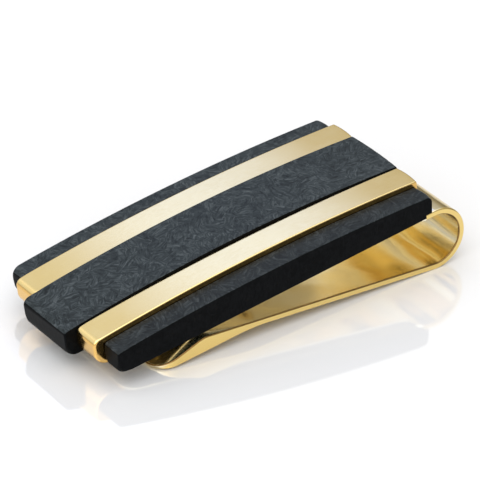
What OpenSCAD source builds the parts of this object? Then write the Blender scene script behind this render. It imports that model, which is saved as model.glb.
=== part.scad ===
// Money clip: five lengthwise bars, screwed to a bent spring band with a cam near its free end.
// It is drawn first in the plate's own frame: X along the plate, with the bend at +X, Y across it,
// and Z = 0 on the plate's flat underside. rest_pose() then lays the finished clip on a table,
// where it stands on its bend and on its tip. The origin is below its middle, on the table.

/* [Plate] */
// Length of the middle bar, which is the longest one
plate_l = 52; // [50:0.5:56]
// Width of the middle bar
centre_w = 9.6; // [8:0.1:12]
// Width of each gold rail
rail_w = 4.2; // [3.8:0.1:6]
// Width of each outer bar
outer_w = 3.2; // [3:0.1:5]
// Height of the middle bar at its crown
centre_h = 5.35; // [5:0.05:7]
// Height of a gold rail at its crown
rail_h = 4.95; // [4.6:0.05:6.5]
// Height of an outer bar at its crown
outer_h = 4.15; // [4:0.05:6]
// How far a rail's left end stands back from the middle bar's
rail_step = 1.6; // [0:0.1:3]
// How far an outer bar's left end stands back from the middle bar's
outer_step = 3.1; // [0:0.1:4.5]
// How far the outer bars' ends lean to the left at the bottom
outer_lean = 0.28; // [0:0.02:0.4]

/* [Arched tops] */
// Radius of the lengthwise arch of the middle bar
centre_arch_r = 240; // [200:5:400]
// Radius of the lengthwise arch of a rail
rail_arch_r = 285; // [200:5:400]
// Radius of the lengthwise arch of an outer bar
outer_arch_r = 295; // [200:5:400]

/* [Spring band] */
// Thickness of the band
band_t = 0.87; // [0.7:0.01:0.95]
// Outside radius of the bend
bend_r = 4.5; // [4.3:0.1:5.5]
// How far the leg's underside stands below the plate's underside
leg_drop = 0.34; // [0.2:0.02:0.4]
// Slope of the arm, in degrees from the plate
arm_slope = 10.7; // [9.5:0.1:10.9]

/* [Cam and tip] */
// Place of the cam's crest along the plate
crest_x = -10.3; // [-12:0.1:-8]
// Place where the cam begins to thicken below
cam_x = -3; // [-5:0.1:0]
// Place of the tip's end
tip_x = -17.5; // [-20:0.1:-17]
// Depth of the tip's underside below the plate's underside
tip_drop = 3; // [2.8:0.05:3.3]
// Thickness of the tip
tip_t = 0.45; // [0.4:0.01:0.9]

/* [Fasteners] */
// Diameter of the pins that cross the bars
pin_d = 1.5; // [1:0.1:1.8]
// Diameter of a rail screw's shank
screw_d = 1.2; // [1:0.1:1.6]
// Length of a rail screw, head included
screw_l = 3.4; // [2.5:0.1:3.8]
// Distance between neighbouring screws along a rail
screw_pitch = 16; // [14:0.5:17]

/* [Hidden] */
$fn = 64;

carbon_colour = "#30353a";
gold_colour = "#d8b768";
steel_colour = "#a8acb0";

// Gap left round a seated piece, and the overshoot of a cut
fit_gap = 0.02;
cut = 1;

// Straight facets in one rounded corner and in one arched top
fillet_steps = 8;
arch_steps = 20;

// Places across and along the plate
right_x = plate_l / 2;
centre_left_x = -plate_l / 2;
rail_left_x = centre_left_x + rail_step;
outer_left_x = centre_left_x + outer_step;
rail_in_y = centre_w / 2;
rail_out_y = rail_in_y + rail_w;
plate_side_y = rail_out_y + outer_w;

// Corner radii of the bars: at the top of both ends, and at the bottom of the left and right ends
centre_top_r = 0.6;
rail_top_r = 0.9;
outer_top_r = 0.45;
centre_bottom_r = 1.3;
rail_bottom_r = 2;
outer_bottom_r = 0.9;
right_bottom_r = 0.1;

// The leg: a full-width end beyond the shoulder, and a narrower tongue let into the bars
band_side_y = plate_side_y - 0.1;
leg_top_z = band_t - leg_drop;
shoulder_x = right_x - 2.2;
shoulder_r = 1;
tongue_left_x = -20.5;
tongue_side_y = rail_out_y + 0.9;
tongue_corner_r = 2;
tongue_root_r = 0.5;

// The bend: concentric cylinders whose top is the leg's top
bend_x = right_x + 0.1;
bend_z = leg_top_z - bend_r;
bend_in_r = bend_r - band_t;

// The arm: a straight strip, tangent to the bend, that ends in the cam and the tip
arm_normal = [-sin(arm_slope), -cos(arm_slope)];
arm_start_in = [bend_x, bend_z] + bend_in_r * arm_normal;
arm_start_out = [bend_x, bend_z] + bend_r * arm_normal;
crest_z = arm_start_in.y + (arm_start_in.x - crest_x) * tan(arm_slope);
cam_z = arm_start_out.y + (arm_start_out.x - cam_x) * tan(arm_slope);
crest_r = 4;
cam_under_r = 25;
tip_edge_r = 0.15;
tip_corner_r = 3;

// Fasteners
pin_x = 9;
pin_z = 2.5;
pin_in_outer = 2.2;
screw_y = rail_in_y + rail_w / 2;
screw_head_d = 2 * screw_d;
screw_head_h = (screw_head_d - screw_d) / 2;
screw_socket_d = 0.9;
screw_socket_h = 0.4;

// The table touches the bend and the tip's rounded edge: the line that is tangent to both circles
tip_centre = [tip_x + tip_edge_r, tip_edge_r - tip_drop];
bend_from_tip = [bend_x, bend_z] - tip_centre;
rest_tilt = asin((bend_r - tip_edge_r) / norm(bend_from_tip))
    - atan2(bend_from_tip.y, bend_from_tip.x);
function tilted(p) = [
    p.x * cos(rest_tilt) - p.y * sin(rest_tilt),
    p.x * sin(rest_tilt) + p.y * cos(rest_tilt)
];
table_z = tilted([bend_x, bend_z]).y - bend_r;
left_corner = [centre_left_x + centre_top_r,
    arch_z(centre_left_x, centre_h, centre_arch_r) - centre_top_r];
left_end = tilted(left_corner).x - centre_top_r;
right_end = tilted([bend_x, bend_z]).x + bend_r;

// Height of an arched top above the underside
function arch_z(x, h, r) = h - r + sqrt(r * r - x * x);

// Points of one rounded corner
function unit(v) = v / norm(v);
function corner_points(before, corner, after, r) =
    r == 0
    ? [corner]
    : let (
        u = unit(before - corner),
        v = unit(after - corner),
        half = acos(u * v) / 2,
        centre = corner + unit(u + v) * r / sin(half),
        from = corner + u * r / tan(half) - centre,
        start = atan2(from.y, from.x),
        turn = (180 - 2 * half) * sign(cross(v, u))
    )
    [for (i = [0 : fillet_steps])
        centre + r * [cos(start + turn * i / fillet_steps), sin(start + turn * i / fillet_steps)]];

// An outline from its corners, each [x, y, radius]
function rounded(corners) =
    let (n = len(corners), p = [for (c = corners) [c.x, c.y]])
    [for (i = [0 : n - 1])
        each corner_points(p[(i + n - 1) % n], p[i], p[(i + 1) % n], corners[i].z)];

// Side outline of a bar: flat below, arched above, with ends that may lean at the bottom
function bar_outline(left, h, arch_r, top_r, bottom_r, lean) = rounded([
    [left - lean, 0, bottom_r],
    [right_x - lean, 0, right_bottom_r],
    [right_x, arch_z(right_x, h, arch_r), top_r],
    for (i = [1 : arch_steps - 1])
        let (x = right_x + (left - right_x) * i / arch_steps)
        [x, arch_z(x, h, arch_r), 0],
    [left, arch_z(left, h, arch_r), top_r]
]);

// An XZ outline given its depth from y0 to y1
module across(y0, y1) {
    translate([0, y1, 0])
        rotate([90, 0, 0])
            linear_extrude(y1 - y0)
                children();
}

// Plan outline of the leg, grown by a gap on every side
module leg_plan(gap) {
    corners = [
        [bend_x + gap, band_side_y + gap, 0],
        [shoulder_x - gap, band_side_y + gap, shoulder_r],
        [shoulder_x - gap, tongue_side_y + gap, tongue_root_r],
        [tongue_left_x - gap, tongue_side_y + gap, tongue_corner_r]
    ];
    mirrored = [for (i = [len(corners) - 1 : -1 : 0]) [corners[i].x, -corners[i].y, corners[i].z]];
    polygon(rounded(concat(corners, mirrored)));
}

// Room for the leg in the underside of the bars. The side walls of the outer bars close the pocket,
// and beyond the shoulder it is open on every side.
module leg_seat() {
    translate([0, 0, -cut])
        linear_extrude(cut + leg_top_z + fit_gap)
            leg_plan(fit_gap);
    translate([shoulder_x + shoulder_r, -plate_side_y - cut, -cut])
        cube([plate_l, 2 * (plate_side_y + cut), cut + leg_top_z + fit_gap]);
}

module at_each_pin() {
    for (x = [-pin_x, pin_x])
        translate([x, 0, pin_z])
            rotate([90, 0, 0])
                children();
}

module pins(gap) {
    at_each_pin()
        cylinder(h = 2 * (rail_out_y + pin_in_outer + gap), d = pin_d + 2 * gap, center = true);
}

module at_each_screw() {
    for (x = [-screw_pitch, 0, screw_pitch])
        for (y = [-screw_y, screw_y])
            translate([x, y, -leg_drop])
                children();
}

// A countersunk screw, head down, grown by a gap
module screw_body(gap) {
    cylinder(h = screw_l + gap, d = screw_d + 2 * gap);
    cylinder(h = screw_head_h, d1 = screw_head_d + 2 * gap, d2 = screw_d + 2 * gap);
}

// A bar between two planes across the plate, with the room for all that is fitted into it
module bar(y0, y1, outline) {
    difference() {
        across(y0, y1)
            polygon(outline);
        leg_seat();
        pins(fit_gap);
        at_each_screw()
            screw_body(fit_gap);
    }
}

// Turns and lifts a piece from the plate's frame to the table
module rest_pose() {
    translate([-(left_end + right_end) / 2, 0, -table_z])
        rotate([0, -rest_tilt, 0])
            children();
}

module centre_bar() {
    color(carbon_colour)
        rest_pose()
            bar(-rail_in_y, rail_in_y, bar_outline(
                centre_left_x, centre_h, centre_arch_r, centre_top_r, centre_bottom_r, 0));
}

module rail(y0, y1) {
    color(gold_colour)
        rest_pose()
            bar(y0, y1, bar_outline(
                rail_left_x, rail_h, rail_arch_r, rail_top_r, rail_bottom_r, 0));
}

module front_rail() {
    rail(-rail_out_y, -rail_in_y);
}

module rear_rail() {
    rail(rail_in_y, rail_out_y);
}

module outer_bar(y0, y1) {
    color(carbon_colour)
        rest_pose()
            bar(y0, y1, bar_outline(
                outer_left_x, outer_h, outer_arch_r, outer_top_r, outer_bottom_r, outer_lean));
}

module front_outer_bar() {
    outer_bar(-plate_side_y, -rail_out_y);
}

module rear_outer_bar() {
    outer_bar(rail_out_y, plate_side_y);
}

module tie_pins() {
    color(steel_colour)
        rest_pose()
            pins(0);
}

module rail_screws() {
    color(gold_colour)
        rest_pose()
            at_each_screw()
                difference() {
                    screw_body(0);
                    translate([0, 0, -cut])
                        cylinder(h = cut + screw_socket_h, d = screw_socket_d, $fn = 6);
                }
}

module spring_leg() {
    color(gold_colour)
        rest_pose()
            difference() {
                translate([0, 0, -leg_drop])
                    linear_extrude(band_t)
                        leg_plan(0);
                at_each_screw()
                    screw_body(fit_gap);
            }
}

// The bend turns from the leg's end to the arm's start
module spring_bend() {
    reach = 3 * bend_r;
    color(gold_colour)
        rest_pose()
            translate([bend_x, 0, bend_z])
                across(-band_side_y, band_side_y)
                    difference() {
                        circle(r = bend_r);
                        circle(r = bend_in_r);
                        polygon([[0, 0], [0, reach], [-reach, reach], [-reach, -reach],
                            reach * arm_normal]);
                    }
}

// Side outline of the arm, from the bend along the inner face, over the crest and back below
module arm_profile() {
    polygon(rounded([
        [arm_start_in.x, arm_start_in.y, 0],
        [crest_x, crest_z, crest_r],
        [tip_x, tip_t - tip_drop, tip_edge_r],
        [tip_x, -tip_drop, tip_edge_r],
        [cam_x, cam_z, cam_under_r],
        [arm_start_out.x, arm_start_out.y, 0]
    ]));
}

// Plan outline of the arm, with the tip's rounded corners
module arm_plan() {
    polygon(rounded([
        [bend_x + bend_r, -band_side_y, 0],
        [bend_x + bend_r, band_side_y, 0],
        [tip_x, band_side_y, tip_corner_r],
        [tip_x, -band_side_y, tip_corner_r]
    ]));
}

module spring_arm() {
    color(gold_colour)
        rest_pose()
            intersection() {
                across(-plate_side_y, plate_side_y)
                    arm_profile();
                translate([0, 0, bend_z - 2 * bend_r])
                    linear_extrude(4 * bend_r)
                        arm_plan();
            }
}

centre_bar();
front_rail();
rear_rail();
front_outer_bar();
rear_outer_bar();
tie_pins();
rail_screws();
spring_leg();
spring_bend();
spring_arm();
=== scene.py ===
"""Looks of the money clip: bars and rails on a bent spring band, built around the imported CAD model."""

import math

import bmesh
import bpy
from mathutils import Matrix, Vector


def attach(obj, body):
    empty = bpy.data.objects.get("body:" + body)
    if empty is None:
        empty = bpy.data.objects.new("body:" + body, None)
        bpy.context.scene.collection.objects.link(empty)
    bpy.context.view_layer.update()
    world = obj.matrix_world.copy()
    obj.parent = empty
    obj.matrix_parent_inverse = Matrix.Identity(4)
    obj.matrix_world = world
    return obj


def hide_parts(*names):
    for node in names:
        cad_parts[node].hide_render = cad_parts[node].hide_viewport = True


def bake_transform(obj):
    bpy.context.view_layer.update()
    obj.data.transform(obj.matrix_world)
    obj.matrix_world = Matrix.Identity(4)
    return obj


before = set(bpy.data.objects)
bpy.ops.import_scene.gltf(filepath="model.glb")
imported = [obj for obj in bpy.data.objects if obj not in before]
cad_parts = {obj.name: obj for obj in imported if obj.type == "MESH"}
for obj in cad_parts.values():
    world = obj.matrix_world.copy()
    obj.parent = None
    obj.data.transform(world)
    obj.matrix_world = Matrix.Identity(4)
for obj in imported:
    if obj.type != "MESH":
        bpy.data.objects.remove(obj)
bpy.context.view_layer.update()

MM = 0.001

# The design's driving measures, in millimetres. The plate's frame has X along the plate, with the bend
# at +X, Y across it, and Z = 0 on the plate's flat underside.
PLATE_L = 52.0
CENTRE_W, RAIL_W, OUTER_W = 9.6, 4.2, 3.2
CENTRE_H, RAIL_H, OUTER_H = 5.35, 4.95, 4.15
CENTRE_ARCH_R, RAIL_ARCH_R, OUTER_ARCH_R = 240.0, 285.0, 295.0
CENTRE_TOP_R = 0.6
# How far short of the centre bar the others stop at the left, and how far the outer bars' ends lean
RAIL_STEP, OUTER_STEP, OUTER_LEAN = 1.6, 3.1, 0.28
# The spring band: how far its leg stands out of the plate's underside, how far in from the plate's
# sides it is, and how far beyond the plate's right end the bend's middle is
BEND_R, BAND_T = 4.5, 0.87
LEG_DROP, BAND_INSET, BEND_OUT = 0.34, 0.1, 0.1
ARM_SLOPE = math.radians(10.7)
CREST_X, CREST_R = -10.3, 4.0
CAM_X, CAM_R = -3.0, 25.0
TIP_X, TIP_TOP, TIP_BOTTOM = -17.5, -2.55, -3.0
TIP_CORNER_R, TIP_EDGE_R = 3.0, 0.15
# The leg's tongue, how far it reaches under the outer bars, and the shoulder where it begins
TONGUE_LEFT, TONGUE_CORNER_R, TONGUE_ROOT_R, TONGUE_OVERLAP = -20.5, 2.0, 0.5, 0.9
SHOULDER_STEP, SHOULDER_R = 2.2, 1.0
# Fasteners: the pins reach into the outer bars
PIN_X, PIN_Z, PIN_D, PIN_IN_OUTER = 9.0, 2.5, 1.5, 2.2
SCREW_PITCH, SCREW_D, SCREW_L = 16.0, 1.2, 3.4
SOCKET_D, SOCKET_DEPTH = 0.9, 0.4
FIT_GAP = 0.02

# Places along the plate, across it and up, and sizes that follow from those above
PLATE_RIGHT = PLATE_L / 2
CENTRE_LEFT = -PLATE_RIGHT
RAIL_LEFT, OUTER_LEFT = CENTRE_LEFT + RAIL_STEP, CENTRE_LEFT + OUTER_STEP
SHOULDER_X = PLATE_RIGHT - SHOULDER_STEP
RAIL_IN_Y = CENTRE_W / 2
RAIL_OUT_Y = RAIL_IN_Y + RAIL_W
PLATE_SIDE_Y = RAIL_OUT_Y + OUTER_W
BAND_SIDE_Y = PLATE_SIDE_Y - BAND_INSET
TONGUE_SIDE_Y = RAIL_OUT_Y + TONGUE_OVERLAP
PIN_HALF = RAIL_OUT_Y + PIN_IN_OUTER
SCREW_Y = RAIL_IN_Y + RAIL_W / 2
LEG_BOTTOM, LEG_TOP = -LEG_DROP, BAND_T - LEG_DROP
BEND = Vector((PLATE_RIGHT + BEND_OUT, LEG_TOP - BEND_R))
SCREW_HEAD_D = 2 * SCREW_D
SCREW_HEAD_H = (SCREW_HEAD_D - SCREW_D) / 2

# Places beyond the plate's end, side and underside, and below a screw's head, for cutters to run out to
OUT_X, OUT_Y, OUT_Z = 30.0, 14.0, -2.0
HEAD_RUN_OUT = 0.3


def lerp(a, b, t):
    return a + (b - a) * t


def smooth(t):
    t = max(0.0, min(1.0, t))
    return t * t * (3 - 2 * t)


def arch_z(x, height, radius):
    """Height of a bar's arched top, in mm."""
    return height - radius + math.sqrt(radius * radius - x * x)


def rest_matrix():
    """From the plate's frame, in mm, to the clip as it lies on the table, in metres. The table touches
    the bend and the tip's rounded edge, and the origin is below the middle of the clip's length."""
    from_tip = BEND - Vector((TIP_X + TIP_EDGE_R, TIP_BOTTOM + TIP_EDGE_R))
    tilt = math.asin((BEND_R - TIP_EDGE_R) / from_tip.length) - math.atan2(from_tip.y, from_tip.x)
    turn = Matrix.Rotation(-tilt, 4, "Y")
    bend = turn @ Vector((BEND.x, 0, BEND.y))
    corner_z = arch_z(CENTRE_LEFT, CENTRE_H, CENTRE_ARCH_R) - CENTRE_TOP_R
    corner = turn @ Vector((CENTRE_LEFT + CENTRE_TOP_R, 0, corner_z))
    left_end, right_end = corner.x - CENTRE_TOP_R, bend.x + BEND_R
    shift = Vector((-(left_end + right_end) / 2, 0, BEND_R - bend.z))
    return Matrix.Scale(MM, 4) @ Matrix.Translation(shift) @ turn


# Everything is built in the plate's frame, and REST then lays it on the table
REST = rest_matrix()

# ---------------------------------------------------------------- outlines


def corner_arc(before, corner, after, radius):
    """Centre, first and last point of the arc that rounds a corner of a 2D outline."""
    u, v = (before - corner).normalized(), (after - corner).normalized()
    half = math.acos(max(-1.0, min(1.0, u.dot(v)))) / 2
    centre = corner + (u + v).normalized() * radius / math.sin(half)
    reach = radius / math.tan(half)
    return centre, corner + u * reach, corner + v * reach


def fillet(before, corner, after, radius, steps):
    """Points of one rounded corner."""
    centre, first, last = corner_arc(before, corner, after, radius)
    a, b = first - centre, last - centre
    start = math.atan2(a.y, a.x)
    turn = math.atan2(a.x * b.y - a.y * b.x, a.dot(b))
    angles = [start + turn * i / steps for i in range(steps + 1)]
    return [centre + radius * Vector((math.cos(t), math.sin(t))) for t in angles]


def bent_line(start, corner, end, radius):
    """Height over x of two straight lines joined by an arc, from start down to a lower x at end."""
    centre, first, last = corner_arc(start, corner, end, radius)
    side = 1 if corner.y > centre.y else -1

    def height(x):
        if x >= first.x:
            return lerp(first.y, start.y, (x - first.x) / (start.x - first.x))
        if x <= last.x:
            return lerp(last.y, end.y, (x - last.x) / (end.x - last.x))
        return centre.y + side * math.sqrt(radius * radius - (x - centre.x) ** 2)

    return height


SHARPEST = 0.5  # least cosine of half a turn, so that no point of an inset outline flies off


def inset(points, distances):
    """A closed anticlockwise outline, each point moved inwards by its own distance."""
    n = len(points)
    moved = []
    for i, p in enumerate(points):
        a, b = (p - points[i - 1]).normalized(), (points[(i + 1) % n] - p).normalized()
        na, nb = Vector((-a.y, a.x)), Vector((-b.y, b.x))
        mid = (na + nb).normalized()
        moved.append(p + mid * distances[i] / max(SHARPEST, mid.dot(na)))
    return moved


# ---------------------------------------------------------------- meshes

# Facets in a rounded edge, the narrow strip that keeps the shading of the flat beside it flat, and
# the angle from which an edge is drawn sharp
ARC_STEPS = 5
SUPPORT = 0.03
SHARP = math.radians(30)

# Rounded edge: share of the radius moved inwards, and share of the radius moved off the face
EDGE_TURNS = [math.pi / 2 * i / ARC_STEPS for i in range(ARC_STEPS + 1)]
EDGE = [(1 - math.sin(a), 1 - math.cos(a)) for a in EDGE_TURNS]


def new_object(name, bm):
    """An object from a bmesh, smooth but for its sharp edges."""
    mesh = bpy.data.meshes.new(name)
    bmesh.ops.recalc_face_normals(bm, faces=bm.faces)
    bm.to_mesh(mesh)
    bm.free()
    mesh.shade_smooth()
    mesh.set_sharp_from_angle(angle=SHARP)
    obj = bpy.data.objects.new(name, mesh)
    bpy.context.scene.collection.objects.link(obj)
    return obj


def loft(bm, rings):
    """Quads between neighbouring closed rings, and one face over each end."""
    rows = [[bm.verts.new(p) for p in ring] for ring in rings]
    for a, b in zip(rows, rows[1:]):
        for i in range(len(a)):
            bm.faces.new((a[i - 1], a[i], b[i], b[i - 1]))
    bm.faces.new(rows[0])
    bm.faces.new(reversed(rows[-1]))


def cut_out(obj, cutters):
    """Subtracts each cutter from obj, and deletes the cutters."""
    for cutter in cutters:
        mod = obj.modifiers.new("cut", "BOOLEAN")
        mod.operation, mod.solver, mod.object = "DIFFERENCE", "MANIFOLD", cutter
    bpy.context.view_layer.update()
    old = obj.data
    made = bpy.data.meshes.new_from_object(obj.evaluated_get(bpy.context.evaluated_depsgraph_get()))
    obj.modifiers.clear()
    obj.data = made
    bpy.data.meshes.remove(old)
    made.name = obj.name
    made.shade_smooth()
    made.set_sharp_from_angle(angle=SHARP)
    for cutter in cutters:
        bpy.data.objects.remove(cutter)


def turned(name, profile, base, axis, sides=48):
    """A closed turned solid in the plate's frame: profile is (radius, distance along the axis), in mm."""
    axis = Vector(axis)
    across = axis.orthogonal().normalized()
    third = axis.cross(across)
    rings = []
    for radius, along in profile:
        ring = []
        for i in range(sides):
            a = 2 * math.pi * i / sides
            p = Vector(base) + axis * along + radius * (across * math.cos(a) + third * math.sin(a))
            ring.append(p)
        rings.append(ring)
    bm = bmesh.new()
    loft(bm, rings)
    return new_object(name, bm)


def prism(name, outline, z0, z1):
    """A closed upright prism over a plan outline of the plate's frame, in mm."""
    bm = bmesh.new()
    loft(bm, [[(p.x, p.y, z) for p in outline] for z in (z0, z1)])
    return new_object(name, bm)


def symmetric(half):
    """A closed anticlockwise plan outline from its half with y > 0, which runs from high x to low x."""
    return half + [Vector((p.x, -p.y)) for p in reversed(half)]


LEG_CORNER_STEPS = 8


def leg_half(gap, right):
    """Plan outline of half the leg, from its right end to its left end, grown by a gap."""
    corners = [
        Vector((right, BAND_SIDE_Y + gap)),
        Vector((SHOULDER_X - gap, BAND_SIDE_Y + gap)),
        Vector((SHOULDER_X - gap, TONGUE_SIDE_Y + gap)),
        Vector((TONGUE_LEFT - gap, TONGUE_SIDE_Y + gap)),
        Vector((TONGUE_LEFT - gap, 0)),
    ]
    half = [corners[0]]
    for i, radius in ((1, SHOULDER_R), (2, TONGUE_ROOT_R), (3, TONGUE_CORNER_R)):
        half += fillet(corners[i - 1], corners[i], corners[i + 1], radius, LEG_CORNER_STEPS)
    return half


def leg_seat():
    """Cutter for the room that the leg takes in the bars' undersides."""
    open_x = SHOULDER_X + SHOULDER_R
    half = [Vector((OUT_X, OUT_Y)), Vector((open_x, OUT_Y))] + leg_half(FIT_GAP, open_x)
    return prism("seat", symmetric(half), OUT_Z, LEG_TOP + FIT_GAP)


def screw_places():
    """Middles of the screws' heads, on the leg's underside."""
    return [(x, y, LEG_BOTTOM) for x in (-SCREW_PITCH, 0, SCREW_PITCH) for y in (-SCREW_Y, SCREW_Y)]


def screw_cutters(y_low, y_high):
    """Cutters for the countersunk screws whose axes are between two planes across the plate."""
    head, shank = SCREW_HEAD_D / 2 + FIT_GAP, SCREW_D / 2 + FIT_GAP
    profile = [(head, -HEAD_RUN_OUT), (head, 0), (shank, SCREW_HEAD_H), (shank, SCREW_L + FIT_GAP)]
    places = [p for p in screw_places() if y_low < p[1] < y_high]
    return [turned("screw", profile, p, (0, 0, 1)) for p in places]


def pin_cutters():
    """Cutters for the two pins that cross the bars."""
    radius, half = PIN_D / 2 + FIT_GAP, PIN_HALF + FIT_GAP
    profile = [(radius, -half), (radius, half)]
    return [turned("pin", profile, (x, 0, PIN_Z), (0, 1, 0)) for x in (-PIN_X, PIN_X)]


# ---------------------------------------------------------------- the plate's bars

# Gap at a bar's side, and the bulge of the bars' right ends, which dies away over its reach
SIDE_GAP = 0.015
END_BULGE, BULGE_REACH = 0.16, 4.0
# The left end has edge radii of its own: how far they reach along the bar, and how high the foot's
# radius holds and then dies away
END_REACH = 1.6
FOOT_H, FOOT_REACH = 0.5, 1.5
# Edge radii along a bar, at its left end and at the foot of that end
CARBON_EDGES = (0.12, 0.2, 0.7)
RAIL_EDGES = (0.16, 0.3, 0.3)

# Where a bar's mesh has its points: in a corner, across the bar, and along each run of the outline,
# closer together near the run's ends
CORNER_STEPS = 10
ACROSS = [i / 10 for i in range(1, 10)]
RUN_MARKS = [0.004, 0.02, 0.05] + [i / 26 for i in range(2, 25)] + [0.95, 0.98, 0.996]
# How far from a top corner the arch gives the fillet its direction
ARCH_AIM = 1.5


def bar_outline(left, height, arch_r, lean, radii):
    """Side outline of a bar, anticlockwise, in mm. radii are the corner radii at the bottom left,
    bottom right, top right and top left."""

    def top(x):
        return arch_z(x, height, arch_r)

    right = PLATE_RIGHT
    top_right, top_left = (Vector((x, top(x))) for x in (right, left))
    on_arch = [Vector((x, top(x))) for x in (right - ARCH_AIM, left + ARCH_AIM)]
    low_left, low_right = Vector((left - lean, 0)), Vector((right - lean, 0))
    arcs = [
        fillet(top_left, low_left, low_right, radii[0], CORNER_STEPS),
        fillet(low_left, low_right, top_right, radii[1], CORNER_STEPS),
        fillet(low_right, top_right, on_arch[0], radii[2], CORNER_STEPS),
        fillet(on_arch[1], top_left, low_left, radii[3], CORNER_STEPS),
    ]
    points = []
    for i, arc in enumerate(arcs):
        points += arc
        start, stop = arc[-1], arcs[(i + 1) % 4][0]
        for m in RUN_MARKS:
            p = start.lerp(stop, m)
            if i == 2:  # the arched top
                p.y = top(p.x) + lerp(start.y - top(start.x), stop.y - top(stop.x), m)
            points.append(p)
    return points


def bar(name, y0, y1, left, height, arch_r, lean, near_radii, far_radii, edges):
    """A bar between two planes across the plate. Its outline's corner radii go from near_radii at the
    front side to far_radii at the rear one. edges are its edge radii along the bar, at the left end
    and at the foot of that end."""
    y0, y1 = y0 + SIDE_GAP, y1 - SIDE_GAP
    edge, end_edge, foot_edge = edges
    rings = []

    def ring(v, shrink, extra, off, support):
        """One closed ring at the share v of the way across. It is moved inwards by the share shrink
        of the edge radius plus extra, and off the side by the share off plus support."""
        radii = [lerp(a, b, v) for a, b in zip(near_radii, far_radii)]
        outline = bar_outline(left, height, arch_r, lean, radii)
        at_end = [1 - smooth((p.x - left) / END_REACH) for p in outline]
        at_foot = [w * (1 - smooth((p.y - FOOT_H) / FOOT_REACH)) for w, p in zip(at_end, outline)]
        radius = [lerp(lerp(edge, end_edge, w), foot_edge, f) for w, f in zip(at_end, at_foot)]
        moved = inset(outline, [r * shrink + extra for r in radius])
        bulge = END_BULGE * (1 - (2 * v - 1) ** 2)
        made = []
        for p, r in zip(moved, radius):
            low, high = y0 + r * off + support, y1 - r * off - support
            at_right = smooth((p.x - PLATE_RIGHT + BULGE_REACH) / BULGE_REACH)
            made.append((p.x + bulge * at_right, lerp(low, high, v), p.y))
        rings.append(made)

    ring(0, 1, SUPPORT, 0, 0)
    for shrink, off in EDGE:
        ring(0, shrink, 0, off, 0)
    for v in [0] + ACROSS + [1]:
        ring(v, 0, 0, 1, SUPPORT)
    for shrink, off in reversed(EDGE):
        ring(1, shrink, 0, off, 0)
    ring(1, 1, SUPPORT, 0, 0)
    bm = bmesh.new()
    loft(bm, rings)
    return new_object(name, bm)


# Corner radii of the bars' side outlines: bottom left, bottom right, top right and top left
RAIL_CORNERS = (2.0, 0.2, 0.3, 0.9)
CENTRE_CORNERS_FRONT, CENTRE_CORNERS_REAR = (1.3, 0.25, 0.4, 0.5), (1.3, 0.25, 0.4, 1.0)
FRONT_OUTER_CORNERS = (0.9, 0.25, 0.9, 0.4)
REAR_OUTER_CORNERS_FRONT, REAR_OUTER_CORNERS_REAR = (0.9, 0.25, 0.9, 0.5), (0.9, 0.25, 0.9, 1.2)


def gold_rail(name, y0, y1):
    return bar(
        name, y0, y1, RAIL_LEFT, RAIL_H, RAIL_ARCH_R, 0, RAIL_CORNERS, RAIL_CORNERS, RAIL_EDGES)


def outer_bar(name, y0, y1, near_radii, far_radii):
    return bar(
        name, y0, y1, OUTER_LEFT, OUTER_H, OUTER_ARCH_R, OUTER_LEAN, near_radii, far_radii,
        CARBON_EDGES)


centre_bar = bar(
    "centre_bar_body", -RAIL_IN_Y, RAIL_IN_Y, CENTRE_LEFT, CENTRE_H, CENTRE_ARCH_R, 0,
    CENTRE_CORNERS_FRONT, CENTRE_CORNERS_REAR, CARBON_EDGES)
front_rail = gold_rail("front_rail_body", -RAIL_OUT_Y, -RAIL_IN_Y)
rear_rail = gold_rail("rear_rail_body", RAIL_IN_Y, RAIL_OUT_Y)
front_outer_bar = outer_bar(
    "front_outer_bar_body", -PLATE_SIDE_Y, -RAIL_OUT_Y, FRONT_OUTER_CORNERS, FRONT_OUTER_CORNERS)
rear_outer_bar = outer_bar(
    "rear_outer_bar_body", RAIL_OUT_Y, PLATE_SIDE_Y, REAR_OUTER_CORNERS_FRONT,
    REAR_OUTER_CORNERS_REAR)

cut_out(centre_bar, [leg_seat()] + pin_cutters())
cut_out(front_rail, [leg_seat()] + pin_cutters() + screw_cutters(-RAIL_OUT_Y, -RAIL_IN_Y))
cut_out(rear_rail, [leg_seat()] + pin_cutters() + screw_cutters(RAIL_IN_Y, RAIL_OUT_Y))
cut_out(front_outer_bar, [leg_seat()] + pin_cutters())
cut_out(rear_outer_bar, [leg_seat()] + pin_cutters())

# ---------------------------------------------------------------- the spring band

BAND_EDGE_R = 0.2
# Stations in the bend, along the arm to just short of the crest, over the cam, and round the tip
BEND_STEPS, ARM_STEPS, CAM_STEPS, TIP_STEPS = 80, 44, 24, 14
CREST_RUN = 2
# Shares of the way: from the seam to the bend, where the band has a station, and from the rounded edge
# to the middle of the band's side, where the side has a point
LEG_MARK, SIDE_MARK = 0.6, 0.4

# The leg's full-width end runs from the seam into the bend. The arm's inner and outer faces leave the
# bend square to arm_normal.
SEAM_X = SHOULDER_X + SHOULDER_R
BEND_IN_R = BEND_R - BAND_T
arm_normal = Vector((-math.sin(ARM_SLOPE), -math.cos(ARM_SLOPE)))
arm_start_in = BEND + BEND_IN_R * arm_normal
arm_start_out = BEND + BEND_R * arm_normal
crest = Vector((CREST_X, arm_start_in.y + (arm_start_in.x - CREST_X) * math.tan(ARM_SLOPE)))
cam = Vector((CAM_X, arm_start_out.y + (arm_start_out.x - CAM_X) * math.tan(ARM_SLOPE)))
arm_in_height = bent_line(arm_start_in, crest, Vector((TIP_X, TIP_TOP)), CREST_R)
arm_out_height = bent_line(arm_start_out, cam, Vector((TIP_X, TIP_BOTTOM)), CAM_R)

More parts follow.
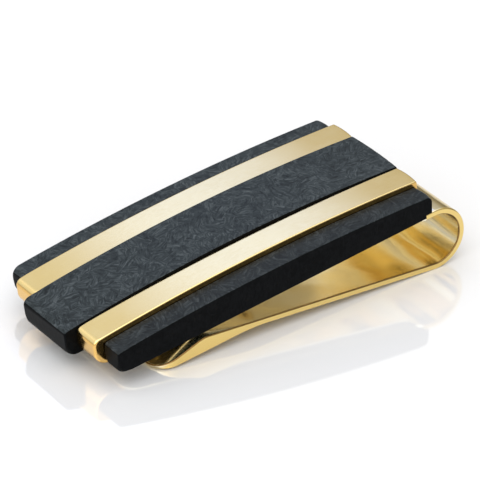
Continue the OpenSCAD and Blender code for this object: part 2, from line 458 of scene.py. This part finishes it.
# Lengths along the band from the seam: to the leg's end, the bend's end and the tip
LEG_END = BEND.x - SEAM_X
BEND_TURN = math.pi + ARM_SLOPE
BEND_END = LEG_END + BEND_TURN * (BEND_R + BEND_IN_R) / 2
ARM_L = arm_start_in.x - TIP_X
BAND_END = BEND_END + ARM_L


def band_at(u):
    """Inner and outer point of the band at a length u along it, in the plate's XZ plane."""
    if u <= LEG_END:
        x = SEAM_X + u
        return Vector((x, LEG_BOTTOM)), Vector((x, LEG_TOP))
    if u < BEND_END:
        a = math.pi / 2 - BEND_TURN * (u - LEG_END) / (BEND_END - LEG_END)
        ray = Vector((math.cos(a), math.sin(a)))
        return BEND + ray * BEND_IN_R, BEND + ray * BEND_R
    t = min(1.0, (u - BEND_END) / ARM_L)
    x_in, x_out = lerp(arm_start_in.x, TIP_X, t), lerp(arm_start_out.x, TIP_X, t)
    return Vector((x_in, arm_in_height(x_in))), Vector((x_out, arm_out_height(x_out)))


def band_stations():
    """(length along the band, half width, outline normal) from the leg's seam to the tip."""
    cam_u = BEND_END + arm_start_in.x - CREST_X - CREST_RUN
    corner_u = BAND_END - TIP_CORNER_R
    places = [0, LEG_MARK * LEG_END]
    places += [lerp(LEG_END, BEND_END, i / BEND_STEPS) for i in range(BEND_STEPS + 1)]
    places += [lerp(BEND_END, cam_u, i / ARM_STEPS) for i in range(1, ARM_STEPS + 1)]
    places += [lerp(cam_u, corner_u, i / CAM_STEPS) for i in range(1, CAM_STEPS + 1)]
    stations = [(u, BAND_SIDE_Y, (0, 1)) for u in places]
    for i in range(1, TIP_STEPS + 1):
        a = math.pi / 2 * i / TIP_STEPS
        s, c = math.sin(a), math.cos(a)
        width = BAND_SIDE_Y - TIP_CORNER_R + TIP_CORNER_R * c
        stations.append((corner_u + TIP_CORNER_R * s, width, (s, c)))
    return stations


# Facets of the inner face's rounded edge that carry a painted dark line, a painted dark reflection
EDGE_SHADE_FACETS = (2, 3, 4)
# Points across the band, as shares of its half width
BAND_MARKS = [-1, -0.996] + [i / 7 for i in range(-6, 7)] + [0.996, 1]
INNER_MARKS = BAND_MARKS[1:-1]
# Where the band is thin, its edge radius is at most this share of the thickness
EDGE_SHARE = 0.45


def side_chain(thickness):
    """Rounded side of the band: (distance inwards, share of the thickness) from the inner face."""
    r = min(BAND_EDGE_R, EDGE_SHARE * thickness)
    top = [(r * shrink, r * off / thickness) for shrink, off in EDGE]
    near = lerp(r, thickness / 2, SIDE_MARK) / thickness
    return top + [(0, near), (0, 0.5), (0, 1 - near)] + [(d, 1 - h) for d, h in reversed(top)]


def close_band(bm, low, high, first, last):
    """The face at one end of the band, as a grid between the points of its two sides, first on the
    inner face and last on the outer one."""
    rows = []
    for i, (a, b) in enumerate(zip(low, high)):
        if i == 0:
            middle = first
        elif i == len(low) - 1:
            middle = last
        else:
            middle = [bm.verts.new(a.co.lerp(b.co, (m + 1) / 2)) for m in INNER_MARKS]
        rows.append([a] + middle + [b])
    for a, b in zip(rows, rows[1:]):
        for i in range(len(a) - 1):
            bm.faces.new((a[i], a[i + 1], b[i + 1], b[i]))


def band_mesh(name):
    """The band from the seam, round the bend, along the arm and over the cam to the tip. Each station
    is a closed ring: low side, inner face, high side, outer face."""
    bm = bmesh.new()
    rings, chains = [], []
    for u, width, (nu, ny) in band_stations():
        inner, outer = band_at(u)
        sides = side_chain((outer - inner).length)

        def point(side, d, share, mark=1.0):
            a, b = band_at(u - nu * d)
            p = a.lerp(b, share)
            return bm.verts.new((p.x, side * mark * (width - ny * d), p.y))

        low = [point(-1, d, h) for d, h in sides]
        high = [point(1, d, h) for d, h in sides]
        first = [point(1, sides[0][0], 0, m) for m in INNER_MARKS]
        last = [point(1, sides[-1][0], 1, m) for m in INNER_MARKS]
        rings.append([low[0]] + first + high + last[::-1] + low[:0:-1])
        chains.append((low, high, first, last))
    to_high = len(BAND_MARKS) - 1
    # Faces that take the painted dark reflection line
    edge_shade_faces = {to_high + k for k in EDGE_SHADE_FACETS} | {len(rings[0]) + 1 - k for k in EDGE_SHADE_FACETS}
    for a, b in zip(rings, rings[1:]):
        for i in range(len(a)):
            face = bm.faces.new((a[i - 1], a[i], b[i], b[i - 1]))
            face.material_index = 1 if i in edge_shade_faces else 0
    for chain in (chains[0], chains[-1]):  # at the seam and at the tip
        close_band(bm, *chain)
    return new_object(name, bm)


def tongue_mesh(name):
    """The leg's tongue under the bars, with its shoulder, up to the seam."""
    # The shoulder's arc begins at the seam, so the half's own first point would be there twice
    outline = symmetric(leg_half(0, SEAM_X)[1:])
    rings = []

    def ring(distance, z):
        moved = inset(outline, [distance] * len(outline))
        for i, side in ((0, 1), (-1, -1)):  # the outline's two ends stay on the seam
            moved[i] = Vector((SEAM_X, side * (BAND_SIDE_Y - distance)))
        rings.append([(p.x, p.y, z) for p in moved])

    ring(BAND_EDGE_R + SUPPORT, LEG_BOTTOM)
    for shrink, off in EDGE:
        ring(BAND_EDGE_R * shrink, LEG_BOTTOM + BAND_EDGE_R * off)
    for shrink, off in reversed(EDGE):
        ring(BAND_EDGE_R * shrink, LEG_TOP - BAND_EDGE_R * off)
    ring(BAND_EDGE_R + SUPPORT, LEG_TOP)
    bm = bmesh.new()
    loft(bm, rings)
    return new_object(name, bm)


spring_band = band_mesh("spring_band")
spring_tongue = tongue_mesh("spring_tongue")
cut_out(spring_tongue, screw_cutters(-PLATE_SIDE_Y, PLATE_SIDE_Y))

# ---------------------------------------------------------------- screws

# Width of the head's flat rim and of its rounded edge, the shank's chamfer, the easing of the corners
# at the flat and under the head, and the socket's cone
SCREW_FLAT, SCREW_RIM, SCREW_CHAMFER, SCREW_EASE = 0.3, 0.05, 0.15, 0.02
SOCKET_RUN_OUT, SOCKET_TIP_R, SOCKET_TIP_H = 0.2, 0.08, 0.12


def screw_mesh(name, place):
    """A countersunk screw, head down, with a hexagon socket that ends in a cone."""
    head, shank = SCREW_HEAD_D / 2, SCREW_D / 2
    flat_r = head - SCREW_RIM
    made = turned(name, [
        (head - SCREW_FLAT, 0), (flat_r - SCREW_EASE, 0), (flat_r, SCREW_EASE / 5), (head, SCREW_RIM),
        (shank + 2 * SCREW_EASE, SCREW_HEAD_H - SCREW_EASE), (shank, SCREW_HEAD_H + 3 * SCREW_EASE),
        (shank, SCREW_L - SCREW_CHAMFER), (shank - SCREW_CHAMFER, SCREW_L),
    ], place, (0, 0, 1))
    socket = turned("socket", [
        (SOCKET_D / 2, -SOCKET_RUN_OUT), (SOCKET_D / 2, SOCKET_DEPTH),
        (SOCKET_TIP_R, SOCKET_DEPTH + SOCKET_TIP_H),
    ], place, (0, 0, 1), sides=6)
    cut_out(made, [socket])
    return made


def joined(name, objects):
    """One object from several that sit at the origin."""
    bm = bmesh.new()
    for o in objects:
        bm.from_mesh(o.data)
        bpy.data.objects.remove(o)
    return new_object(name, bm)


rail_screws = joined("rail_screw_set", [screw_mesh("screw", p) for p in screw_places()])

# ---------------------------------------------------------------- materials


class Nodes:
    """The nodes of a material or a world. add() makes one node: settings by name, inputs by socket name
    or number. The others make the usual ones, and give the socket that they end in."""

    def __init__(self, tree):
        self.tree = tree

    def add(self, kind, inputs=None, **settings):
        node = self.tree.nodes.new("ShaderNode" + kind)
        for key, value in settings.items():
            setattr(node, key, value)
        for key, value in (inputs or {}).items():
            if isinstance(value, bpy.types.NodeSocket):
                self.tree.links.new(value, node.inputs[key])
            else:
                node.inputs[key].default_value = value
        return node

    def math(self, operation, a, b=0.0):
        return self.add("Math", {0: a, 1: b}, operation=operation).outputs[0]

    def vector(self, operation, a, b):
        return self.add("VectorMath", {0: a, 1: b}, operation=operation).outputs[0]

    def spun(self, vector, angle):
        """A vector turned about Z."""
        inputs = {"Vector": vector, "Angle": angle}
        return self.add("VectorRotate", inputs, rotation_type="Z_AXIS").outputs[0]

    def scaled(self, vector, factor):
        inputs = {0: vector, "Scale": factor}
        return self.add("VectorMath", inputs, operation="SCALE").outputs[0]

    def dot(self, a, b):
        return self.add("VectorMath", {0: a, 1: b}, operation="DOT_PRODUCT").outputs["Value"]

    def mix(self, factor, a, b):
        """The value a at factor 0, and b at factor 1."""
        return self.add("Mix", {0: factor, 2: a, 3: b}).outputs[0]

    def mix_colour(self, factor, a, b, blend="MIX"):
        """The colour a at factor 0, and b blended with it at factor 1."""
        inputs = {0: factor, 6: a, 7: b}
        return self.add("Mix", inputs, data_type="RGBA", blend_type=blend).outputs[2]

    def noise(self, vector, scale=1.0, detail=2.0, roughness=0.5, distortion=0.0, output=0):
        """A noise's value, or its colour where the output is "Color"."""
        return self.add("TexNoise", {
            "Vector": vector, "Scale": scale, "Detail": detail, "Roughness": roughness,
            "Distortion": distortion}).outputs[output]

    def ramp(self, factor, stops):
        """The colour at a factor, from (place, colour) stops."""
        node = self.add("ValToRGB", {0: factor})
        elements = node.color_ramp.elements
        while len(elements) < len(stops):
            elements.new(0.5)
        for element, (place, colour) in zip(elements, stops):
            element.position = place
            element.color = (*colour, 1)
        return node.outputs["Color"]

    def value_range(self, value, low, high, to_low, to_high, easing="SMOOTHSTEP"):
        """A value from low to high, taken to between to_low and to_high."""
        return self.add("MapRange", {
            "Value": value, "From Min": low, "From Max": high, "To Min": to_low, "To Max": to_high},
            interpolation_type=easing).outputs[0]

    def bump(self, height, strength, distance_mm, normal=None):
        inputs = {"Height": height, "Strength": strength, "Distance": distance_mm * MM}
        if normal is not None:
            inputs["Normal"] = normal
        return self.add("Bump", inputs).outputs[0]


class Shader(Nodes):
    """A new material's nodes, up to its Principled shader."""

    def __init__(self, name):
        self.material = bpy.data.materials.new(name)
        self.material.use_nodes = True
        super().__init__(self.material.node_tree)
        self.tree.nodes.clear()
        self.output = self.tree.nodes.new("ShaderNodeOutputMaterial")

    def millimetres(self):
        """Object coordinates in millimetres."""
        return self.scaled(self.add("TexCoord").outputs["Object"], 1 / MM)

    def finish(self, inputs):
        """The finished material, a Principled one with these inputs."""
        shader = self.add("BsdfPrincipled", inputs)
        self.tree.links.new(shader.outputs[0], self.output.inputs["Surface"])
        return self.material


# Forged carbon: how far its pattern is swirled, in mm, the sizes in mm of its two kinds of flake, how
# often the tone changes along, across and through a flake's fibres, per mm, the shares of the flake's
# own tone and of its fibres in the pattern, and how much the resin between flakes darkens it
SWIRL = 1.3
LARGE_FLAKE, SMALL_FLAKE = 2.6, 1.5
FIBRE = (0.45, 4.6, 1.0)
FLAKE_SHARE, FIBRE_SHARE = 0.08, 0.92
RESIN_DEPTH = 0.09
# How much rougher the brightest flakes are, and how one kind of flake's places differ from the other's
SHEEN_SPREAD = 0.14
SEED_SHIFT = (1, 2.3, 0.7)
# Colours over the pattern's value, on the pressed top and underside, and much darker ones on the sides,
# which are painted shade
PRESSED_COLOURS = [
    (0.29, (0.005, 0.008, 0.009)), (0.49, (0.022, 0.029, 0.032)), (0.69, (0.069, 0.082, 0.088))]
SIDE_SHADE_COLOURS = [(0.36, (0.0018, 0.0021, 0.0024)), (0.62, (0.0048, 0.0053, 0.006))]


def flakes(sh, place, size, seed):
    """Chopped fibre bundles: cells, each combed by fine fibres in a direction of its own. Gives the
    tone of the cell and the fibres in it, both about 0 to 1."""
    shifted = sh.vector("ADD", place, tuple(k * seed for k in SEED_SHIFT))
    cells = sh.add("TexVoronoi", {"Vector": shifted, "Scale": 1 / size}, feature="F1")
    split = sh.add("SeparateColor", {0: cells.outputs["Color"]})
    angle = sh.math("MULTIPLY", split.outputs[0], 2 * math.pi)
    combed = sh.vector("MULTIPLY", sh.spun(shifted, angle), FIBRE)
    fibres = sh.noise(combed, detail=3.0, roughness=0.6, distortion=0.1)
    return split.outputs[1], fibres


def forged_carbon(name, rough, specular, colours):
    """Pressed chopped carbon fibre, with its colours as (value of the pattern, colour) stops."""
    sh = Shader(name)
    place = sh.millimetres()
    swirl = sh.noise(place, scale=0.4, detail=4.0, roughness=0.55, output="Color")
    swirl = sh.vector("SUBTRACT", swirl, (0.5, 0.5, 0.5))
    bent = sh.vector("ADD", place, sh.scaled(swirl, SWIRL))
    tone_a, fibre_a = flakes(sh, bent, LARGE_FLAKE, seed=0.0)
    tone_b, fibre_b = flakes(sh, bent, SMALL_FLAKE, seed=7.0)
    mask = sh.value_range(sh.noise(place, scale=0.8), 0.44, 0.56, 0, 1)
    tone = sh.mix(mask, tone_a, tone_b)
    fibre = sh.mix(mask, fibre_a, fibre_b)
    resin = sh.noise(place, scale=0.7, detail=3.0, roughness=0.6, distortion=0.8)
    resin = sh.value_range(resin, 0.36, 0.52, RESIN_DEPTH, 0)
    value = sh.math(
        "ADD", sh.math("MULTIPLY", tone, FLAKE_SHARE), sh.math("MULTIPLY", fibre, FIBRE_SHARE))
    value = sh.math("SUBTRACT", value, resin)
    grain = sh.noise(place, scale=22.0)
    return sh.finish({
        "Base Color": sh.ramp(value, colours),
        "Roughness": sh.value_range(value, 0.2, 0.8, rough, rough + SHEEN_SPREAD),
        "Specular IOR Level": specular,
        "Normal": sh.bump(grain, 0.12, 0.01, normal=sh.bump(value, 0.25, 0.03)),
    })


def pressed(tone):
    """The pressed faces' colours, made brighter or darker: painted light on the underside and painted
    shade on the front outer bar.
    """
    return [(place, tuple(c * tone for c in colour)) for place, colour in PRESSED_COLOURS]


# Gold: how a duller patch differs in colour, how many times rougher its hairlines are, and how much
# roughness a patch adds. Its painted light and shade come in between two cosines of the angle to the
# given direction: towards it the lit colour, away from it a darker painted shade. The broad folds in its
# mirror have a turn across the clip, and a rate per mm along X, Y and Z.
DULL_PATCH = (0.985, 0.965, 0.92)
HAIR_ROUGHER, PATCH_ROUGHER = 1.6, 0.03
PAINTED_LIT_FROM, PAINTED_LIT_TO = 0.33, 0.55
FOLD_TURN = math.radians(25)
FOLD_RATE = (0.07, 0.24, 0.06)


def gold(name, colour, shade, lit_towards, rough, wave_mm, hair_rate):
    """Polished gold plating: hairlines, folds wave_mm deep and duller patches. The faces that look
    towards the given direction take colour, and the rest take shade, a deeper tone that is painted shade.
    hair_rate is how often the hairlines come along X, Y and Z, per mm."""
    sh = Shader(name)
    place = sh.millimetres()
    patches = sh.noise(place, scale=0.25, detail=3.0, roughness=0.55)
    hair = sh.noise(sh.vector("MULTIPLY", place, hair_rate), detail=3.0, roughness=0.7)
    dull = tuple(c * k for c, k in zip(colour, DULL_PATCH))
    base = sh.ramp(patches, [(0.3, dull), (0.7, colour)])
    # Painted light and shade: faces towards the given direction take the lit colour, the rest a darker
    # painted shade
    facing = sh.dot(sh.add("TexCoord").outputs["Normal"], lit_towards)
    lit_share = sh.value_range(facing, PAINTED_LIT_FROM, PAINTED_LIT_TO, 0, 1)
    base = sh.mix_colour(lit_share, (*shade, 1), base)
    roughness = sh.math(
        "ADD", sh.value_range(hair, 0.3, 0.7, rough, rough * HAIR_ROUGHER),
        sh.value_range(patches, 0.4, 0.7, 0, PATCH_ROUGHER))
    folds = sh.vector("MULTIPLY", sh.spun(place, FOLD_TURN), FOLD_RATE)
    wave = sh.noise(folds, detail=0.0, roughness=0.4, distortion=0.2)
    return sh.finish({
        "Base Color": base, "Metallic": 1.0, "Roughness": roughness,
        "Normal": sh.bump(hair, 0.02, 0.01, normal=sh.bump(wave, 1.0, wave_mm)),
    })


RING_RATE = (0.6, 14, 0.6)


def steel(name):
    """Ground steel, with rings round the pins that come at a rate per mm along X, Y and Z."""
    sh = Shader(name)
    rings = sh.noise(sh.vector("MULTIPLY", sh.millimetres(), RING_RATE), detail=3.0)
    return sh.finish({
        "Base Color": sh.ramp(rings, [(0.3, (0.42, 0.43, 0.45)), (0.7, (0.58, 0.59, 0.6))]),
        "Metallic": 1.0, "Roughness": sh.value_range(rings, 0.3, 0.7, 0.25, 0.4),
        "Normal": sh.bump(rings, 0.1, 0.01),
    })


carbon_top = forged_carbon("forged_carbon_face", rough=0.36, specular=0.18, colours=pressed(1.0))
# A darker copy of the top for the front outer bar: painted shade from the rail beside it
carbon_top_front_shaded = forged_carbon(
    "forged_carbon_front_face_shaded", rough=0.36, specular=0.18, colours=pressed(0.6))
# A brighter, glossier copy of the carbon for the underside: painted light, so its reflection in the gold
# reads paler
carbon_under_lit = forged_carbon(
    "forged_carbon_underside_lit", rough=0.2, specular=1.0, colours=pressed(1.7))
# The sides' much darker colours are painted shade
carbon_side_shade = forged_carbon("forged_carbon_side_shade", rough=0.34, specular=0.03, colours=SIDE_SHADE_COLOURS)

# The directions towards which the gold takes its lit colour rather than its painted shade, its
# hairlines' rates, and the tones that are the same from any side
UPWARDS, INTO_THE_BEND = (0, 0, 1), (-0.8, 0, 0.6)
ALONG, EVERY_WAY = (0.4, 9, 9), (5, 5, 5)
TONGUE_COLOUR, EDGE_SHADE_COLOUR = (0.94, 0.85, 0.63), (0.26, 0.15, 0.05)
# The shade tones are painted shade, on the rails' ends and side walls and on the band's sides and the
# bend's outer top
rail_gold = gold(
    "polished_gold", colour=(0.92, 0.72, 0.33), shade=(0.72, 0.45, 0.14), lit_towards=UPWARDS,
    rough=0.11, wave_mm=0.02, hair_rate=ALONG)
band_gold = gold(
    "spring_gold", colour=(0.87, 0.775, 0.53), shade=(0.82, 0.61, 0.22), lit_towards=INTO_THE_BEND,
    rough=0.1, wave_mm=0.1, hair_rate=ALONG)
tongue_gold = gold(
    "spring_gold_inner", colour=TONGUE_COLOUR, shade=TONGUE_COLOUR, lit_towards=UPWARDS,
    rough=0.1, wave_mm=0.08, hair_rate=ALONG)
# The band's inner edge line: a painted dark reflection in deep brown gold
edge_shade_gold = gold(
    "spring_gold_edge_shade", colour=EDGE_SHADE_COLOUR, shade=EDGE_SHADE_COLOUR, lit_towards=UPWARDS,
    rough=0.2, wave_mm=0.0, hair_rate=ALONG)
screw_gold = gold(
    "screw_gold", colour=(0.88, 0.68, 0.32), shade=(0.86, 0.66, 0.30), lit_towards=UPWARDS,
    rough=0.14, wave_mm=0.0, hair_rate=EVERY_WAY)
pin_steel = steel("pin_steel")


def paint(obj, *materials):
    obj.data.materials.clear()
    for material in materials:
        obj.data.materials.append(material)


# Least height of an upward face's normal, and greatest one of a downward face's
FACES_UP, FACES_DOWN = 0.5, -0.9


def paint_carbon(obj, top):
    """The pressed top and underside take materials of their own, and the sides a third, darkened as
    painted shade.
    """
    paint(obj, carbon_side_shade, top, carbon_under_lit)
    for face in obj.data.polygons:
        if face.normal.z > FACES_UP:
            face.material_index = 1
        elif face.normal.z < FACES_DOWN:
            face.material_index = 2
        else:
            face.material_index = 0


paint_carbon(centre_bar, carbon_top)
paint_carbon(rear_outer_bar, carbon_top)
paint_carbon(front_outer_bar, carbon_top_front_shaded)
for rail in (front_rail, rear_rail):
    paint(rail, rail_gold)
# The band's faces already say which of the two they take, which paint() would clear
for band_material in (band_gold, edge_shade_gold):
    spring_band.data.materials.append(band_material)
paint(spring_tongue, tongue_gold)
paint(rail_screws, screw_gold)
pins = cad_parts["tie_pins"]
for material_slot in pins.material_slots:
    material_slot.material = pin_steel

# ---------------------------------------------------------------- bodies

for piece in (
        centre_bar, front_rail, rear_rail, front_outer_bar, rear_outer_bar,
        rail_screws, spring_tongue, spring_band):
    piece.data.transform(REST)

for piece, node, slot in (
    (centre_bar, "centre_bar", "forged_carbon"),
    (front_outer_bar, "front_outer_bar", "forged_carbon"),
    (rear_outer_bar, "rear_outer_bar", "forged_carbon"),
    (front_rail, "front_rail", "polished_gold"),
    (rear_rail, "rear_rail", "polished_gold"),
    (rail_screws, "rail_screws", "screw_gold"),
    (spring_tongue, "spring_leg", "spring_gold"),
):
    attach(piece, "plate")
    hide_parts(node)

# Where the band bends between the arm's plane and the leg: a line square to the arm, which nothing below
# uses
ARM_UP = -arm_normal
bend_low = arm_start_in
bend_reach = Vector((SHOULDER_X, LEG_BOTTOM)) - bend_low
bend_high = bend_low + ARM_UP * bend_reach.dot(ARM_UP)
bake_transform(spring_band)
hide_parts("spring_bend", "spring_arm")

# ---------------------------------------------------------------- floor, light and camera

# Half the floor's width, and how far away the lights are, in metres
FLOOR_HALF = 8.0
LIGHT_DISTANCE = 1.4

# The sky as (sine of the elevation, colour) stops. Each glow in it is a (azimuth, elevation), how many
# degrees it reaches, and its colour: a small one mirrored along the rails, and one broad one on each
# side
SKY = [
    (0.0, (0.18, 0.18, 0.18)), (0.12, (0.3, 0.3, 0.3)), (0.3, (0.46, 0.46, 0.46)),
    (0.56, (0.61, 0.59, 0.56)), (0.69, (0.84, 0.86, 0.90)), (1.0, (0.95, 0.96, 1.0))]
GLOWS = [
    ((63.5, 39.0), 8.0, (0.32, 0.56, 1.6)), ((-130, 12), 75, (0.7, 0.7, 0.7)),
    ((150, 20), 70, (0.4, 0.4, 0.4))]

# The photo's viewpoint, and how far right and up the camera is shifted to frame the clip as the photo
# does
VIEW_AZIMUTH, VIEW_ELEVATION = 35.15, 31.72
VIEW_TARGET, VIEW_DISTANCE, VIEW_LENS = (0, 0, 6.0 * MM), 563.9 * MM, 330
VIEW_SHIFT = (1.228 * MM, 0.749 * MM)


def floor_material():
    """Glossy white table top."""
    sh = Shader("studio_floor")
    mottle = sh.noise(sh.millimetres(), scale=0.02)
    return sh.finish({
        "Base Color": sh.ramp(mottle, [(0.3, (0.9, 0.9, 0.9)), (0.7, (0.92, 0.92, 0.92))]),
        "Roughness": 0.06, "IOR": 3.2,
    })


def floor_plane(half):
    bm = bmesh.new()
    corners = ((-half, -half), (half, -half), (half, half), (-half, half))
    bm.faces.new([bm.verts.new((x, y, 0)) for x, y in corners])
    obj = new_object("studio_floor", bm)
    paint(obj, floor_material())


def direction(azimuth, elevation):
    """Unit vector towards a place in the studio. Azimuth is from +X towards +Y, in degrees."""
    a, e = math.radians(azimuth), math.radians(elevation)
    return Vector((math.cos(a) * math.cos(e), math.sin(a) * math.cos(e), math.sin(e)))


def area_light(name, azimuth, elevation, width, height, power):
    """A softbox that faces the clip."""
    data = bpy.data.lights.new(name, "AREA")
    data.shape, data.size, data.size_y = "RECTANGLE", width, height
    data.energy = power
    obj = bpy.data.objects.new(name, data)
    away = direction(azimuth, elevation)
    obj.location = away * LIGHT_DISTANCE
    obj.rotation_mode = "QUATERNION"
    obj.rotation_quaternion = away.to_track_quat("Z", "Y")
    bpy.context.scene.collection.objects.link(obj)


def studio_world(sky, glows):
    """Soft studio light from all round, as a world."""
    world = bpy.data.worlds.new("studio")
    world.use_nodes = True
    nodes = Nodes(world.node_tree)
    place = nodes.add("TexCoord").outputs["Generated"]
    total = nodes.ramp(nodes.add("SeparateXYZ", {0: place}).outputs["Z"], sky)
    for at, reach, colour in glows:
        rim = math.cos(math.radians(reach))
        near = nodes.value_range(nodes.dot(place, direction(*at)), rim, 1, 0, 1, "SMOOTHERSTEP")
        total = nodes.mix_colour(near, total, (*colour, 1), "ADD")
    nodes.tree.links.new(total, nodes.tree.nodes["Background"].inputs["Color"])
    bpy.context.scene.world = world


def camera(azimuth, elevation, distance, target, lens, shift):
    """Azimuth 0 looks along +Y, and a positive one looks towards +X as well. shift is how far right
    and up the camera stands from where it would look straight at the target."""
    data = bpy.data.cameras.new("camera")
    data.lens, data.sensor_width = lens, 36
    data.clip_start, data.clip_end = 0.01, 50
    obj = bpy.data.objects.new("camera", data)
    a, e = math.radians(azimuth), math.radians(elevation)
    back = Vector((-math.sin(a) * math.cos(e), -math.cos(a) * math.cos(e), math.sin(e)))
    right = Vector((math.cos(a), -math.sin(a), 0))
    up = back.cross(right)
    obj.location = Vector(target) + back * distance + right * shift[0] + up * shift[1]
    obj.rotation_mode = "QUATERNION"
    obj.rotation_quaternion = back.to_track_quat("Z", "Y")
    bpy.context.scene.collection.objects.link(obj)
    bpy.context.scene.camera = obj


floor_plane(FLOOR_HALF)
studio_world(SKY, GLOWS)
area_light("softbox_key", azimuth=215, elevation=78, width=1.8, height=1.8, power=10.5)
area_light("softbox_fill", azimuth=215, elevation=24, width=1.6, height=0.7, power=2.3)
camera(VIEW_AZIMUTH, VIEW_ELEVATION, VIEW_DISTANCE, VIEW_TARGET, VIEW_LENS, VIEW_SHIFT)

scene = bpy.context.scene
scene.view_settings.view_transform = "Standard"
scene.view_settings.look = "None"
